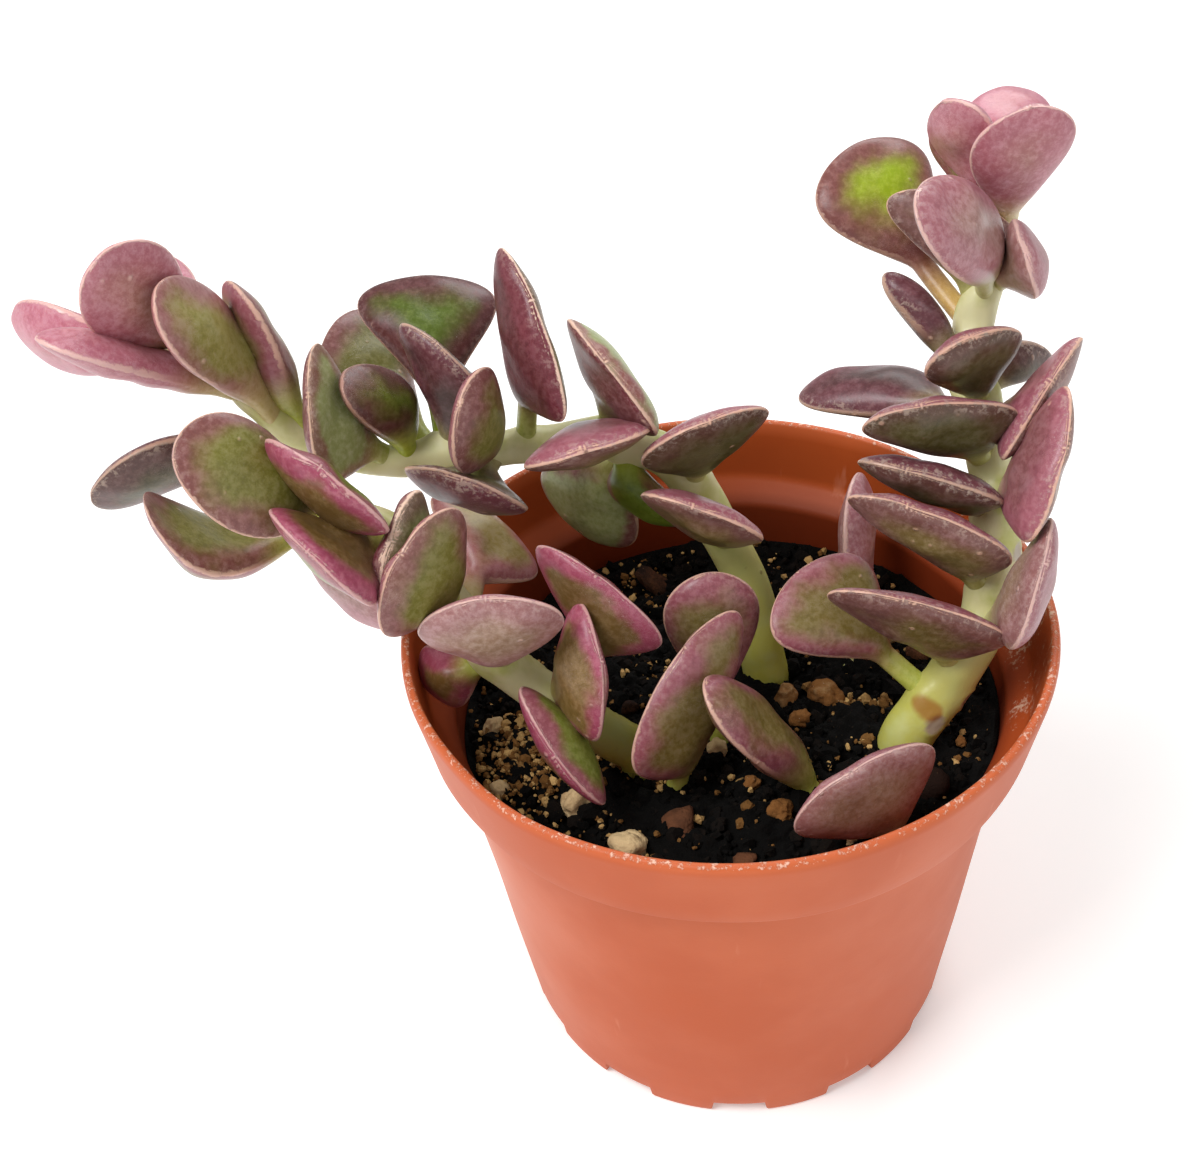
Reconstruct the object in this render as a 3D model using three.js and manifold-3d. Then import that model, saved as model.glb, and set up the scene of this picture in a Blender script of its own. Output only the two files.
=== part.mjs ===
// Potted trailing jade: a thin nursery pot filled with gritty soil, and a succulent
// whose three trailing stems carry thick, fan-shaped leaves on short stalks.
// Millimetres, +Z up. The tables are written with the pot's axis at x = 0, y = 0; the
// finished group is then moved so that its origin is the bottom centre of its box.

import * as THREE from 'three';
import { mergeVertices } from 'three/addons/utils/BufferGeometryUtils.js';
import Module from 'manifold-3d';

// ---- Driving dimensions ---------------------------------------------------------

const POT_HEIGHT = 85;
const RIM_RADIUS = 52.5;            // outer radius at the top of the rim
const BAND_LOW_RADIUS = 50.3;       // outer radius at the lower edge of the rim band
const BAND_LOW_Z = 70.5;
const NECK_RADIUS = 46.7;           // outer radius just under the band
const FOOT_RADIUS = 39.5;
const POT_WALL = 1.2;
const POT_FLOOR_UNDER_Z = 2.9;      // underside of the raised floor
const POT_FLOOR_TOP_Z = 4.6;
const FOOT_RING_WIDTH = 2.2;
const RIM_EDGE_WIDTH = 0.9;         // flat top of the rim
const RIM_BEVEL = 1.0;              // the rim's outer edge, in height
const SHELF_OUTSIDE = 0.9;          // wall of the band where it meets the neck
const SHELF_HEIGHT = 3.2;
const POT_SEGMENTS = 72;

const NOTCH_COUNT = 12;             // drainage notches round the foot
const NOTCH_WIDTH = 10;
const NOTCH_DEPTH = 9;              // reach of the cut, across the foot ring
const NOTCH_HEIGHT = 2.8;

const GAP = 0.3;                    // clearance between neighbouring solids
const SOIL_HEIGHT = 64;             // soil level on the pot's axis
const SOIL_TILT_X = 0.03;           // rise per mm towards +X
const SOIL_TILT_Y = -0.05;          // rise per mm towards +Y
const SOIL_RADIUS = 44;             // radius of the soil's surface
const SOIL_WALL_GAP = 0.4;
const SOIL_SEGMENTS = 48;

const STEM_SIDES = 10;
const LEAF_SIDES = 8;
const LEAF_HALF_THICKNESS = 2.5;
const STALK_HALF_WIDTH = 1.7;
const STALK_HALF_THICKNESS = 1.3;
const STALK_GAP = 0.8;              // from a stem's skin to the stalk's foot
const STALK_SQUARENESS = 0.85;      // 1 is a foot straight out from the stem's side

const STALK_SHARE = 0.14;           // length of a common stalk as a share of the leaf
const BLADE_STATIONS = [0.22, 0.45, 0.70, 0.90];  // sections between stalk and apex
const WIDEST_AT = 0.68;             // where a common blade is widest, from its base
const BLADE_ROUNDNESS = 0.5;        // 1 is a pointed oval, less is blunter
const DEPTH_SKEW = 0.9;             // where the blade is thickest, like its width's
const DEPTH_ROUNDNESS = 0.6;
const MARGIN_SHARPNESS = 1.6;       // 1 is an oval section, more is a sharper margin
const FOOT_STATION = 0.03;          // the stalk has its full width from here

// ---- Stems: points on the centre line, and radii spaced evenly along it ----------

const STEMS = {
  right: {
    radii: [4.2, 3.8, 3.7, 3.6, 3.4, 3.2, 2.8, 2.2, 1.6],
    points: [
      [28, -13, 66.6], [29, -12.5, 69], [32, -11, 72.5], [35, -9, 76], [39, -6, 82],
      [41, -3, 87], [42, 0, 93], [42, 4, 98], [42, 8, 102], [41, 12, 107], [40, 16, 111],
      [39, 20, 115], [40, 24, 118], [42, 28, 123], [44, 32, 127], [46, 37, 134],
    ],
  },
  back: {
    radii: [3.9, 3.6, 3.5, 3.4, 3.3, 3.0, 2.7, 2.5, 2.3, 2.1, 1.8, 1.6],
    points: [
      [7, 6, 64.3], [6.5, 6.5, 67.5], [6, 7, 71], [5, 9, 78], [3, 11, 84], [0, 13, 90],
      [-3, 15, 96], [-7, 16, 102], [-12, 17, 105], [-18, 17, 107], [-25, 16, 107],
      [-31, 15, 107], [-38, 14, 107], [-44, 13, 107], [-50, 12, 107], [-56, 11, 109],
      [-62, 10, 112], [-66, 10, 116], [-69, 10, 120], [-72, 10, 125], [-77, 10, 130],
    ],
  },
  left: {
    radii: [3.7, 3.6, 3.5, 3.3, 3.1, 2.8, 2.3, 1.7],
    points: [
      [-14, -14, 65.4], [-15, -14, 67.5], [-18, -14, 70], [-23, -13, 74], [-28, -12, 78],
      [-33, -11, 83], [-38, -10, 89], [-41, -9, 96], [-44, -8, 103], [-48, -7, 109],
      [-53, -6, 111], [-57, -5, 111],
    ],
  },
};

// ---- Leaves: where the stalk leaves its stem, the apex, and the vector across ----
// "at" is the share of the stem's length; a leaf from the soil has its foot instead.
// "across" runs from one end of the broad apex to the other, so its length is the
// width of the blade. "bend" bows the blade towards its face, and "stalk" and
// "widest" are given where they aren't the common ones.

const LEAVES = {
  right_leaf_01: { foot: [26, -29, 66.6], apex: [17, -36, 86], across: [20, 9, 7] },
  right_leaf_02: { stem: 'right', at: 0.10, apex: [11, -1, 92], across: [14, 15, 3], stalk: 0.3 },
  right_leaf_03: { stem: 'right', at: 0.17, apex: [26, -15, 99], across: [22, -3, -6] },
  right_leaf_04: { stem: 'right', at: 0.32, apex: [27, -6, 109], across: [17, -4, -7] },
  right_leaf_05: { stem: 'right', at: 0.45, apex: [27, -3, 113], across: [15, -2, -5] },
  right_leaf_06: { foot: [21, 5, 66.6], apex: [24, 31, 87], across: [5, 12, -8], stalk: 0.3 },
  right_leaf_07: { stem: 'right', at: 0.54, apex: [29, 0, 122], across: [19, 2, 0] },
  right_leaf_08: { stem: 'right', at: 0.61, apex: [18, 32, 106], across: [15, 3, 2] },
  right_leaf_09: { stem: 'right', at: 0.64, apex: [36, 5, 130], across: [14, 4, 3] },
  right_leaf_10: { stem: 'right', at: 0.60, apex: [48, 5, 122], across: [11, 11, 11], bend: -2 },
  right_leaf_11: { stem: 'right', at: 0.46, apex: [48, -7, 119], across: [5, 14, 15] },
  right_leaf_12: { stem: 'right', at: 0.25, apex: [45, -15, 105], across: [5, 11, 12], bend: -1 },
  right_leaf_13: { stem: 'right', at: 0.78, apex: [23, 48, 139], across: [18, 13, 2], stalk: 0.35, bend: 2 },
  right_leaf_14: { stem: 'right', at: 0.81, apex: [35, 33, 138], across: [16, -3, -5] },
  right_leaf_15: { stem: 'right', at: 0.83, apex: [28, 11, 150], across: [7, 16, -3], widest: 0.6, bend: -3 },
  right_leaf_16: { stem: 'right', at: 0.85, apex: [44, 15, 137], across: [3, -7, -9], bend: 2 },
  right_leaf_17: { stem: 'right', at: 0.95, apex: [45, 25, 154], across: [15, 2, 1], widest: 0.66 },
  right_leaf_18: { stem: 'right', at: 0.97, apex: [34, 33, 152], across: [6, -9, 7] },
  right_leaf_19: { stem: 'right', at: 1.00, apex: [49, 61, 141], across: [14, 1, -1] },
  back_leaf_01: { stem: 'back', at: 0.31, apex: [-1, 3, 119], across: [19, 5, 4] },
  back_leaf_02: { stem: 'back', at: 0.21, apex: [-4, -2, 107], across: [17, -3, -6] },
  back_leaf_03: { foot: [-1, -10, 66.6], apex: [-2, -3, 95], across: [15, 2, 0], stalk: 0.3 },
  back_leaf_04: { stem: 'back', at: 0.54, apex: [-26, 14, 134], across: [7, -14, -16], stalk: 0.3 },
  back_leaf_05: { stem: 'back', at: 0.44, apex: [-16, 7, 127], across: [12, -10, -13], bend: 2 },
  back_leaf_06: { stem: 'back', at: 0.46, apex: [-19, -1, 117], across: [19, 4, 3] },
  back_leaf_07: { stem: 'back', at: 0.40, apex: [-25, 23, 84], across: [15, -8, -10] },
  back_leaf_08: { stem: 'back', at: 0.64, apex: [-46, 35, 127], across: [22, 1, -1], widest: 0.78, bend: -3 },
  back_leaf_09: { stem: 'back', at: 0.65, apex: [-61, 33, 121], across: [8, 18, 1], bend: 3 },
  back_leaf_10: { stem: 'back', at: 0.69, apex: [-54, 11, 126], across: [5, 12, -5], widest: 0.62, bend: -2 },
  back_leaf_11: { stem: 'back', at: 0.64, apex: [-41, 13, 128], across: [12, -7, -9], bend: 2 },
  back_leaf_12: { stem: 'back', at: 0.59, apex: [-37, 1, 125], across: [5, 10, 11], bend: -2 },
  back_leaf_13: { stem: 'back', at: 0.58, apex: [-37, -4, 116], across: [18, -3, -6], bend: -4 },
  back_leaf_14: { stem: 'back', at: 0.71, apex: [-59, 3, 127], across: [0, 12, 14], bend: 2 },
  back_leaf_15: { stem: 'back', at: 0.83, apex: [-71, 15, 139], across: [6, -11, 10], widest: 0.6, bend: 1 },
  back_leaf_16: { stem: 'back', at: 0.87, apex: [-75, 2, 147], across: [3, 14, -2], widest: 0.62 },
  back_leaf_17: { stem: 'back', at: 1.00, apex: [-81, -2, 153], across: [11, 8, 7], widest: 0.58, bend: 1 },
  back_leaf_18: { stem: 'back', at: 1.00, apex: [-96, 30, 134], across: [13, 10, 9], widest: 0.58, bend: 3 },
  back_leaf_19: { stem: 'back', at: 1.00, apex: [-105, 16, 135], across: [-5, 4, -12], widest: 0.66, bend: 3 },
  back_leaf_20: { stem: 'back', at: 0.92, apex: [-93, -3, 142], across: [-4, 13, -6], widest: 0.62 },
  back_leaf_21: { stem: 'back', at: 0.86, apex: [-94, -2, 114], across: [8, -3, 12], widest: 0.7 },
  left_leaf_01: { stem: 'left', at: 1.00, apex: [-72, -19, 132], across: [-1, 11, 12], widest: 0.62, bend: -3 },
  left_leaf_02: { stem: 'left', at: 1.00, apex: [-79, -17, 124], across: [-6, 16, -2], widest: 0.66, bend: 7 },
  left_leaf_03: { stem: 'left', at: 0.94, apex: [-53, -18, 129], across: [16, -7, -10], bend: -1 },
  left_leaf_04: { stem: 'left', at: 0.85, apex: [-55, -26, 121], across: [-13, 8, 11], bend: 3 },
  left_leaf_05: { stem: 'left', at: 0.80, apex: [-61, -2, 91], across: [-13, 8, 11] },
  left_leaf_06: { stem: 'left', at: 0.82, apex: [-46, -18, 116], across: [5, 10, 11], bend: -2 },
  left_leaf_07: { stem: 'left', at: 0.64, apex: [-44, -21, 116], across: [11, 12, 12], bend: -2 },
  left_leaf_08: { stem: 'left', at: 0.57, apex: [-38, 15, 93], across: [16, -7, -10], stalk: 0.35 },
  left_leaf_09: { stem: 'left', at: 0.44, apex: [-33, -22, 108], across: [21, 2, 0], bend: -2 },
  left_leaf_10: { stem: 'left', at: 0.45, apex: [-48, -7, 77], across: [-5, 6, 8] },
  left_leaf_11: { stem: 'left', at: 0.21, apex: [-18, -13, 104], across: [17, -8, -11], stalk: 0.35, bend: 3 },
  left_leaf_12: { stem: 'left', at: 0.28, apex: [-18, -21, 94], across: [-2, 13, 15] },
  left_leaf_13: { stem: 'left', at: 0.20, apex: [-25, -29, 83], across: [-12, 11, 14] },
  left_leaf_14: { foot: [-9, -20, 66.6], apex: [-6, -15, 91], across: [12, 12, 13], stalk: 0.2, bend: -2 },
  left_leaf_15: { foot: [15, -22, 66.6], apex: [-3, -20, 89], across: [4, 13, -6], widest: 0.6 },
};

// ---- Materials ------------------------------------------------------------------

const COLOURS = {
  pot: { color: 0xcd7350, roughness: 0.55, metalness: 0 },
  soil: { color: 0x3a2d24, roughness: 0.95, metalness: 0 },
  stem: { color: 0xc3c68c, roughness: 0.55, metalness: 0 },
  right_leaf: { color: 0x8d6a58, roughness: 0.45, metalness: 0 },
  back_leaf: { color: 0x7c7044, roughness: 0.45, metalness: 0 },
  left_leaf: { color: 0x7f8a55, roughness: 0.45, metalness: 0 },
};

// ---- Helpers --------------------------------------------------------------------

/** Keeps only the positions, so that every vertex on a seam becomes one vertex. */
function weld(geometry) {
  geometry.deleteAttribute('normal');
  geometry.deleteAttribute('uv');
  const welded = mergeVertices(geometry, 1e-4);
  welded.computeVertexNormals();
  return welded;
}

/** A named mesh in the material of its kind. */
function piece(name, kind, geometry) {
  const mesh = new THREE.Mesh(geometry, new THREE.MeshStandardMaterial(COLOURS[kind]));
  mesh.name = name;
  return mesh;
}

/** Moves every vertex of a geometry to the point that place(vertex) gives. */
function remap(geometry, place) {
  const position = geometry.attributes.position;
  const vertex = new THREE.Vector3();
  for (let i = 0; i < position.count; i += 1) {
    vertex.fromBufferAttribute(position, i);
    const moved = place(vertex);
    position.setXYZ(i, moved.x, moved.y, moved.z);
  }
  return geometry;
}

/** Reads a list of evenly spaced values at t, from 0 to 1, in straight steps. */
function sample(values, t) {
  const x = THREE.MathUtils.clamp(t, 0, 1) * (values.length - 1);
  const i = Math.min(Math.floor(x), values.length - 2);
  return THREE.MathUtils.lerp(values[i], values[i + 1], x - i);
}

const vector = (xyz) => new THREE.Vector3(...xyz);

// ---- Pot ------------------------------------------------------------------------

/** Inner radius of the pot's wall at height z. */
function wallInside(z) {
  const slope = (NECK_RADIUS - FOOT_RADIUS) / BAND_LOW_Z;
  return FOOT_RADIUS - POT_WALL + slope * z;
}

/** The pot turned in one piece, from the middle of its underside round to its floor. */
function potBlank() {
  const profile = [
    [0, POT_FLOOR_UNDER_Z],
    [FOOT_RADIUS - FOOT_RING_WIDTH, POT_FLOOR_UNDER_Z],
    [FOOT_RADIUS - FOOT_RING_WIDTH, 0],
    [FOOT_RADIUS, 0],
    [NECK_RADIUS, BAND_LOW_Z],
    [BAND_LOW_RADIUS, BAND_LOW_Z],
    [RIM_RADIUS, POT_HEIGHT - RIM_BEVEL],
    [RIM_RADIUS - RIM_BEVEL / 2, POT_HEIGHT],
    [RIM_RADIUS - RIM_BEVEL / 2 - RIM_EDGE_WIDTH, POT_HEIGHT],
    [BAND_LOW_RADIUS - SHELF_OUTSIDE, BAND_LOW_Z + SHELF_HEIGHT],
    [wallInside(BAND_LOW_Z - SHELF_OUTSIDE), BAND_LOW_Z - SHELF_OUTSIDE],
    [wallInside(POT_FLOOR_TOP_Z), POT_FLOOR_TOP_Z],
    [0, POT_FLOOR_TOP_Z],
  ].map(([r, z]) => new THREE.Vector2(r, z));
  return weld(new THREE.LatheGeometry(profile, POT_SEGMENTS).rotateX(Math.PI / 2));
}

/** The block that cuts one drainage notch through the foot ring. */
function notchTool(index) {
  const angle = -Math.PI / 2 + (index * 2 * Math.PI) / NOTCH_COUNT;
  const block = new THREE.BoxGeometry(NOTCH_DEPTH, NOTCH_WIDTH, 2 * NOTCH_HEIGHT);
  block.translate(FOOT_RADIUS - FOOT_RING_WIDTH / 2, 0, 0).rotateZ(angle);
  return weld(block);
}

const wasm = await Module();
wasm.setup();

/** A closed geometry as a solid that can be cut. */
function toSolid(geometry) {
  const vertProperties = new Float32Array(geometry.attributes.position.array);
  const triVerts = new Uint32Array(geometry.index.array);
  return new wasm.Manifold(new wasm.Mesh({ numProp: 3, vertProperties, triVerts }));
}

/** A cut solid back as a geometry. */
function toGeometry(solid) {
  const { vertProperties, triVerts } = solid.getMesh();
  const geometry = new THREE.BufferGeometry();
  geometry.setAttribute('position', new THREE.BufferAttribute(vertProperties, 3));
  geometry.setIndex(new THREE.BufferAttribute(triVerts, 1));
  geometry.computeVertexNormals();
  return geometry;
}

/** The pot's blank with its drainage notches cut. */
function potGeometry() {
  let pot = toSolid(potBlank());
  for (let index = 0; index < NOTCH_COUNT; index += 1) {
    pot = pot.subtract(toSolid(notchTool(index)));
  }
  return toGeometry(pot);
}

// ---- Soil -----------------------------------------------------------------------

/** Height of the soil's surface, which rises a little to the front and the right. */
function soilHeight(x, y) {
  return SOIL_HEIGHT + SOIL_TILT_X * x + SOIL_TILT_Y * y;
}

/** The plug of soil: it follows the wall's slope and ends in the tilted surface. */
function soilGeometry() {
  const bottom = POT_FLOOR_TOP_Z + GAP;
  const plug = new THREE.CylinderGeometry(1, 1, 1, SOIL_SEGMENTS).rotateX(Math.PI / 2);
  return weld(remap(plug, (v) => {
    const z = v.z > 0 ? soilHeight(v.x * SOIL_RADIUS, v.y * SOIL_RADIUS) : bottom;
    const radius = wallInside(z) - SOIL_WALL_GAP;
    return new THREE.Vector3(v.x * radius, v.y * radius, z);
  }));
}

// ---- Stems ----------------------------------------------------------------------

const stemCurves = Object.fromEntries(Object.entries(STEMS).map(
  ([name, { points }]) => [name, new THREE.CatmullRomCurve3(points.map(vector))],
));

/** A closed round tube along the stem's centre line, with the stem's own radii. */
function stemGeometry(name) {
  const curve = stemCurves[name];
  const steps = 2 * STEMS[name].points.length;
  const frames = curve.computeFrenetFrames(steps, false);
  const rod = new THREE.CylinderGeometry(1, 1, 1, STEM_SIDES, steps);
  return weld(remap(rod, (v) => {
    const t = 0.5 - v.y;
    const i = Math.round(t * steps);
    const radius = sample(STEMS[name].radii, t);
    const point = curve.getPointAt(t)
      .addScaledVector(frames.normals[i], v.x * radius)
      .addScaledVector(frames.binormals[i], v.z * radius);
    point.z = Math.max(point.z, soilHeight(point.x, point.y) + GAP);
    return point;
  }));
}

// ---- Leaves ---------------------------------------------------------------------

/** Foot of a leaf's stalk: just off the stem's skin, on the side of the leaf. */
function leafFoot({ stem, at, foot, apex }) {
  if (foot) return vector(foot);
  const curve = stemCurves[stem];
  const centre = curve.getPointAt(at);
  const along = curve.getTangentAt(at);
  const out = vector(apex).sub(centre);
  const squareness = at === 1 ? 0 : STALK_SQUARENESS;
  out.addScaledVector(along, -squareness * out.dot(along)).normalize();
  const radius = sample(STEMS[stem].radii, at);
  return centre.addScaledVector(out, radius + STALK_GAP);
}

/** Share of the full width that the blade has at u, from its base, 0, to its apex. */
function bladeWidth(u, widest) {
  const skew = Math.log(0.5) / Math.log(widest);
  return u <= 0 || u >= 1 ? 0 : Math.sin(Math.PI * u ** skew) ** BLADE_ROUNDNESS;
}

/** Share of the full thickness at u: thickest low in the blade, thin at the apex. */
function bladeDepth(u) {
  return u <= 0 || u >= 1 ? 0 : Math.sin(Math.PI * u ** DEPTH_SKEW) ** DEPTH_ROUNDNESS;
}

/**
 * One thick leaf. A sphere's rings become the sections of the blade: each is a lens
 * with a sharp margin at both sides, and the poles are the stalk's foot and the apex.
 */
function leafGeometry(leaf) {
  const { bend = 0, stalk = STALK_SHARE, widest = WIDEST_AT } = leaf;
  const foot = leafFoot(leaf);
  const axis = vector(leaf.apex).sub(foot);
  const across = vector(leaf.across);
  const halfWidth = across.length() / 2;
  const face = new THREE.Vector3().crossVectors(axis, across).normalize();
  const side = new THREE.Vector3().crossVectors(face, axis).normalize();
  const lean = across.dot(axis) / axis.lengthSq() / 2;
  const blade = BLADE_STATIONS.map((u) => stalk + (1 - stalk) * u);
  const stations = [0, FOOT_STATION, stalk, ...blade, 1];
  const last = stations.length - 1;
  const ball = new THREE.SphereGeometry(1, LEAF_SIDES, last);
  return weld(remap(ball, (v) => {
    const ring = Math.round((Math.acos(THREE.MathUtils.clamp(v.y, -1, 1)) / Math.PI) * last);
    const along = stations[ring];
    const u = (along - stalk) / (1 - stalk);
    const wide = bladeWidth(u, widest);
    const angle = Math.atan2(v.z, v.x);
    const open = ring === 0 || ring === last ? 0 : 1;
    const x = open * Math.cos(angle);
    const z = open * Math.sin(angle);
    const lens = Math.sign(z) * Math.abs(z) ** MARGIN_SHARPNESS;
    const width = Math.max(wide * halfWidth, STALK_HALF_WIDTH);
    const depth = Math.max(bladeDepth(u) * LEAF_HALF_THICKNESS, STALK_HALF_THICKNESS);
    const lift = bend * 4 * along * (1 - along);
    return foot.clone()
      .addScaledVector(axis, along + lean * x * wide)
      .addScaledVector(side, x * width)
      .addScaledVector(face, lens * depth + lift);
  }));
}

// ---- Assembly -------------------------------------------------------------------

const plant = new THREE.Group();
plant.add(piece('pot', 'pot', potGeometry()));
plant.add(piece('soil', 'soil', soilGeometry()));
for (const name of Object.keys(STEMS)) {
  plant.add(piece(`${name}_stem`, 'stem', stemGeometry(name)));
}
for (const [name, leaf] of Object.entries(LEAVES)) {
  plant.add(piece(name, name.slice(0, -3), leafGeometry(leaf)));
}

const box = new THREE.Box3().setFromObject(plant, true);
plant.position.set(-(box.min.x + box.max.x) / 2, -(box.min.y + box.max.y) / 2, 0);

const group = new THREE.Group();
group.add(plant);

export default group;
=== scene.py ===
"""Potted trailing jade: a thin plastic nursery pot of gritty soil, and a succulent whose
three stems carry thick fan-shaped leaves. Lengths in the tables are millimetres from the
pot's axis, on the surface that the pot stands on."""

import bpy
import numpy as np
from mathutils import Matrix, Vector


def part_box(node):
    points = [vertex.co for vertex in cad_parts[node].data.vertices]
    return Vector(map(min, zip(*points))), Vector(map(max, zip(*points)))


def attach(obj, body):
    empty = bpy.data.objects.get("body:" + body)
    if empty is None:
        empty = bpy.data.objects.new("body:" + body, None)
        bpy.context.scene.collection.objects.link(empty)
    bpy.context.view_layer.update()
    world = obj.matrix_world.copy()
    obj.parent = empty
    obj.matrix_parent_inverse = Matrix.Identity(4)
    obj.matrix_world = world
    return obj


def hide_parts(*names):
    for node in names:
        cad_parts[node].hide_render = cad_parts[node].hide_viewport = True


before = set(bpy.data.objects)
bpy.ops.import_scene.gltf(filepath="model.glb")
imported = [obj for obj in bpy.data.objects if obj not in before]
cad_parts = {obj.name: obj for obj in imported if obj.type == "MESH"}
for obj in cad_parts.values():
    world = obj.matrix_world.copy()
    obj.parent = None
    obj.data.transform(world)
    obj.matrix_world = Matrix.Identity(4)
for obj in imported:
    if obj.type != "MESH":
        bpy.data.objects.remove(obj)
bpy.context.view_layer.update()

MM = 0.001

# ---- Pot ------------------------------------------------------------------------------
# A thin-walled nursery pot, injection moulded in one go from terracotta-coloured plastic.
# The rim is a stepped band with a rolled edge, the floor is raised on a foot ring, and
# the foot ring has drainage notches. Handling has scuffed the rim's edge pale. The colour
# also paints a highlight along the rim's top, glints among the scuffs and shade inside.

POT_LOW, POT_HIGH = (np.array(corner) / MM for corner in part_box("pot"))
AXIS_X, AXIS_Y = (POT_LOW[:2] + POT_HIGH[:2]) / 2
RIM_RADIUS = (POT_HIGH[0] - POT_LOW[0]) / 2
RIM_Z = POT_HIGH[2]
BAND_RADIUS, BAND_Z = 50.3, 70.5
NECK_RADIUS, FOOT_RADIUS = 46.7, 39.5
FOOT_INNER_RADIUS = 37.3
FLOOR_UNDER_Z, FLOOR_TOP_Z = 2.9, 4.6
WALL = 1.2
NOTCHES, NOTCH_WIDTH, NOTCH_HEIGHT = 12, 10.0, 2.8
POT_COLUMNS = 720
MID_RADIUS, MID_HEIGHT = 40.0, 60.0
SQUEEZE, SQUEEZE_TURN = 0.006, 0.5      # how much and which way the rim is drawn in
DENT_DEPTH, DENT_SIZE = 0.10, 26
SKIN_INSET = 0.12                       # keeps the dented wall inside the solid one


def smooth_step(low, high, value):
    """0 below low, 1 above high, and the cubic 3t^2 - 2t^3 between them."""
    t = np.clip((value - low) / (high - low), 0, 1)
    return t * t * (3 - 2 * t)


def ripple(points, size, seed, waves=14):
    """Soft random relief of about -1 to 1: the mean of plane waves of wavelength near size,
    each with its own direction and phase, at points of shape (..., 3)."""
    random = np.random.default_rng(seed)
    ways = random.normal(size=(waves, 3))
    ways /= np.linalg.norm(ways, axis=1, keepdims=True)
    ways *= 2 * np.pi / size * random.uniform(0.7, 1.5, (waves, 1))
    phases = random.uniform(0, 2 * np.pi, waves)
    return np.sin(points @ ways.T + phases).sum(-1) * np.sqrt(2 / waves)


def mesh_piece(name, points, faces, material, values=None, crease=None):
    """An object at the origin with points in millimetres from the pot's axis. values are
    one number per point each, kept as named attributes; crease is the angle in degrees
    past which an edge stays sharp."""
    mesh = bpy.data.meshes.new(name)
    mesh.from_pydata(((points + (AXIS_X, AXIS_Y, 0)) * MM).tolist(), [], faces)
    mesh.polygons.foreach_set("use_smooth", np.ones(len(mesh.polygons), bool))
    for key, value in (values or {}).items():
        layer = mesh.attributes.new(key, "FLOAT", "POINT")
        layer.data.foreach_set("value", np.ascontiguousarray(value, dtype=np.float32))
    if crease:
        mesh.set_sharp_from_angle(angle=np.radians(crease))
    mesh.materials.append(material)
    mesh.validate()
    piece = bpy.data.objects.new(name, mesh)
    bpy.context.collection.objects.link(piece)
    return piece


def closed_faces(rings, columns):
    """Faces of a closed skin whose first and last points are its poles: a fan at each pole
    and a band of four-sided faces between each ring and the next."""
    column = np.arange(columns)
    after = (column + 1) % columns
    start = 1 + columns * np.arange(rings - 1)[:, None]
    bands = np.stack([start + column, start + after, start + columns + after,
                      start + columns + column], -1).reshape(-1, 4)
    last = 1 + columns * (rings - 1)
    top = np.stack([np.zeros(columns, int), after + 1, column + 1], -1)
    end = np.stack([np.full(columns, last + columns), last + column, last + after], -1)
    return top.tolist() + bands.tolist() + end.tolist()


def closed_skin(name, grid, material, values=None, crease=None):
    """A closed piece from a (rows, columns, 3) grid whose first and last rows are single
    points. Its faces are turned over when the volume they bound comes out negative."""
    rows, columns = grid.shape[:2]
    points = np.concatenate([grid[0, :1], grid[1:-1].reshape(-1, 3), grid[-1, :1]])
    faces = closed_faces(rows - 2, columns)
    corners = points[np.array([face[:3] for face in faces])]
    other = points[np.array([[face[0], face[-2], face[-1]] for face in faces])]
    volume = np.einsum("ij,ij->", np.cross(corners[:, 0], corners[:, 1]), corners[:, 2])
    four = np.array([len(face) == 4 for face in faces])
    volume += np.einsum("ij,ij->", np.cross(other[four, 0], other[four, 1]), other[four, 2])
    if volume < 0:
        faces = [face[::-1] for face in faces]
    flat = {key: np.concatenate([value[0, :1], value[1:-1].ravel(), value[-1, :1]])
            for key, value in (values or {}).items()}
    return mesh_piece(name, points, faces, material, flat, crease)


def rounded(corners, radii, steps=5):
    """A profile whose corners are replaced by quadratic arcs, each reaching its own radius
    along both neighbouring sides."""
    corners = np.array(corners, float)
    out = [corners[:1]]
    for before, corner, after, radius in zip(corners, corners[1:], corners[2:], radii):
        reach = [corner + (end - corner) * min(radius / np.linalg.norm(end - corner), 0.45)
                 for end in (before, after)]
        t = np.linspace(0, 1, steps)[:, None]
        out.append((1 - t) ** 2 * reach[0] + 2 * t * (1 - t) * corner + t * t * reach[1])
    out.append(corners[-1:])
    return np.concatenate(out)


def finely(profile, step):
    """The profile with points added so that no side of it is longer than step."""
    parts = []
    for start, end in zip(profile, profile[1:]):
        count = max(1, int(np.ceil(np.linalg.norm(end - start) / step)))
        parts.append(start + (end - start) * np.arange(count)[:, None] / count)
    return np.concatenate(parts + [profile[-1:]])


def wall_inside(z):
    """Inner radius of the pot's wall: a straight line from the foot to the neck."""
    return FOOT_RADIUS - WALL + (NECK_RADIUS - FOOT_RADIUS) / BAND_Z * z


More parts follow.
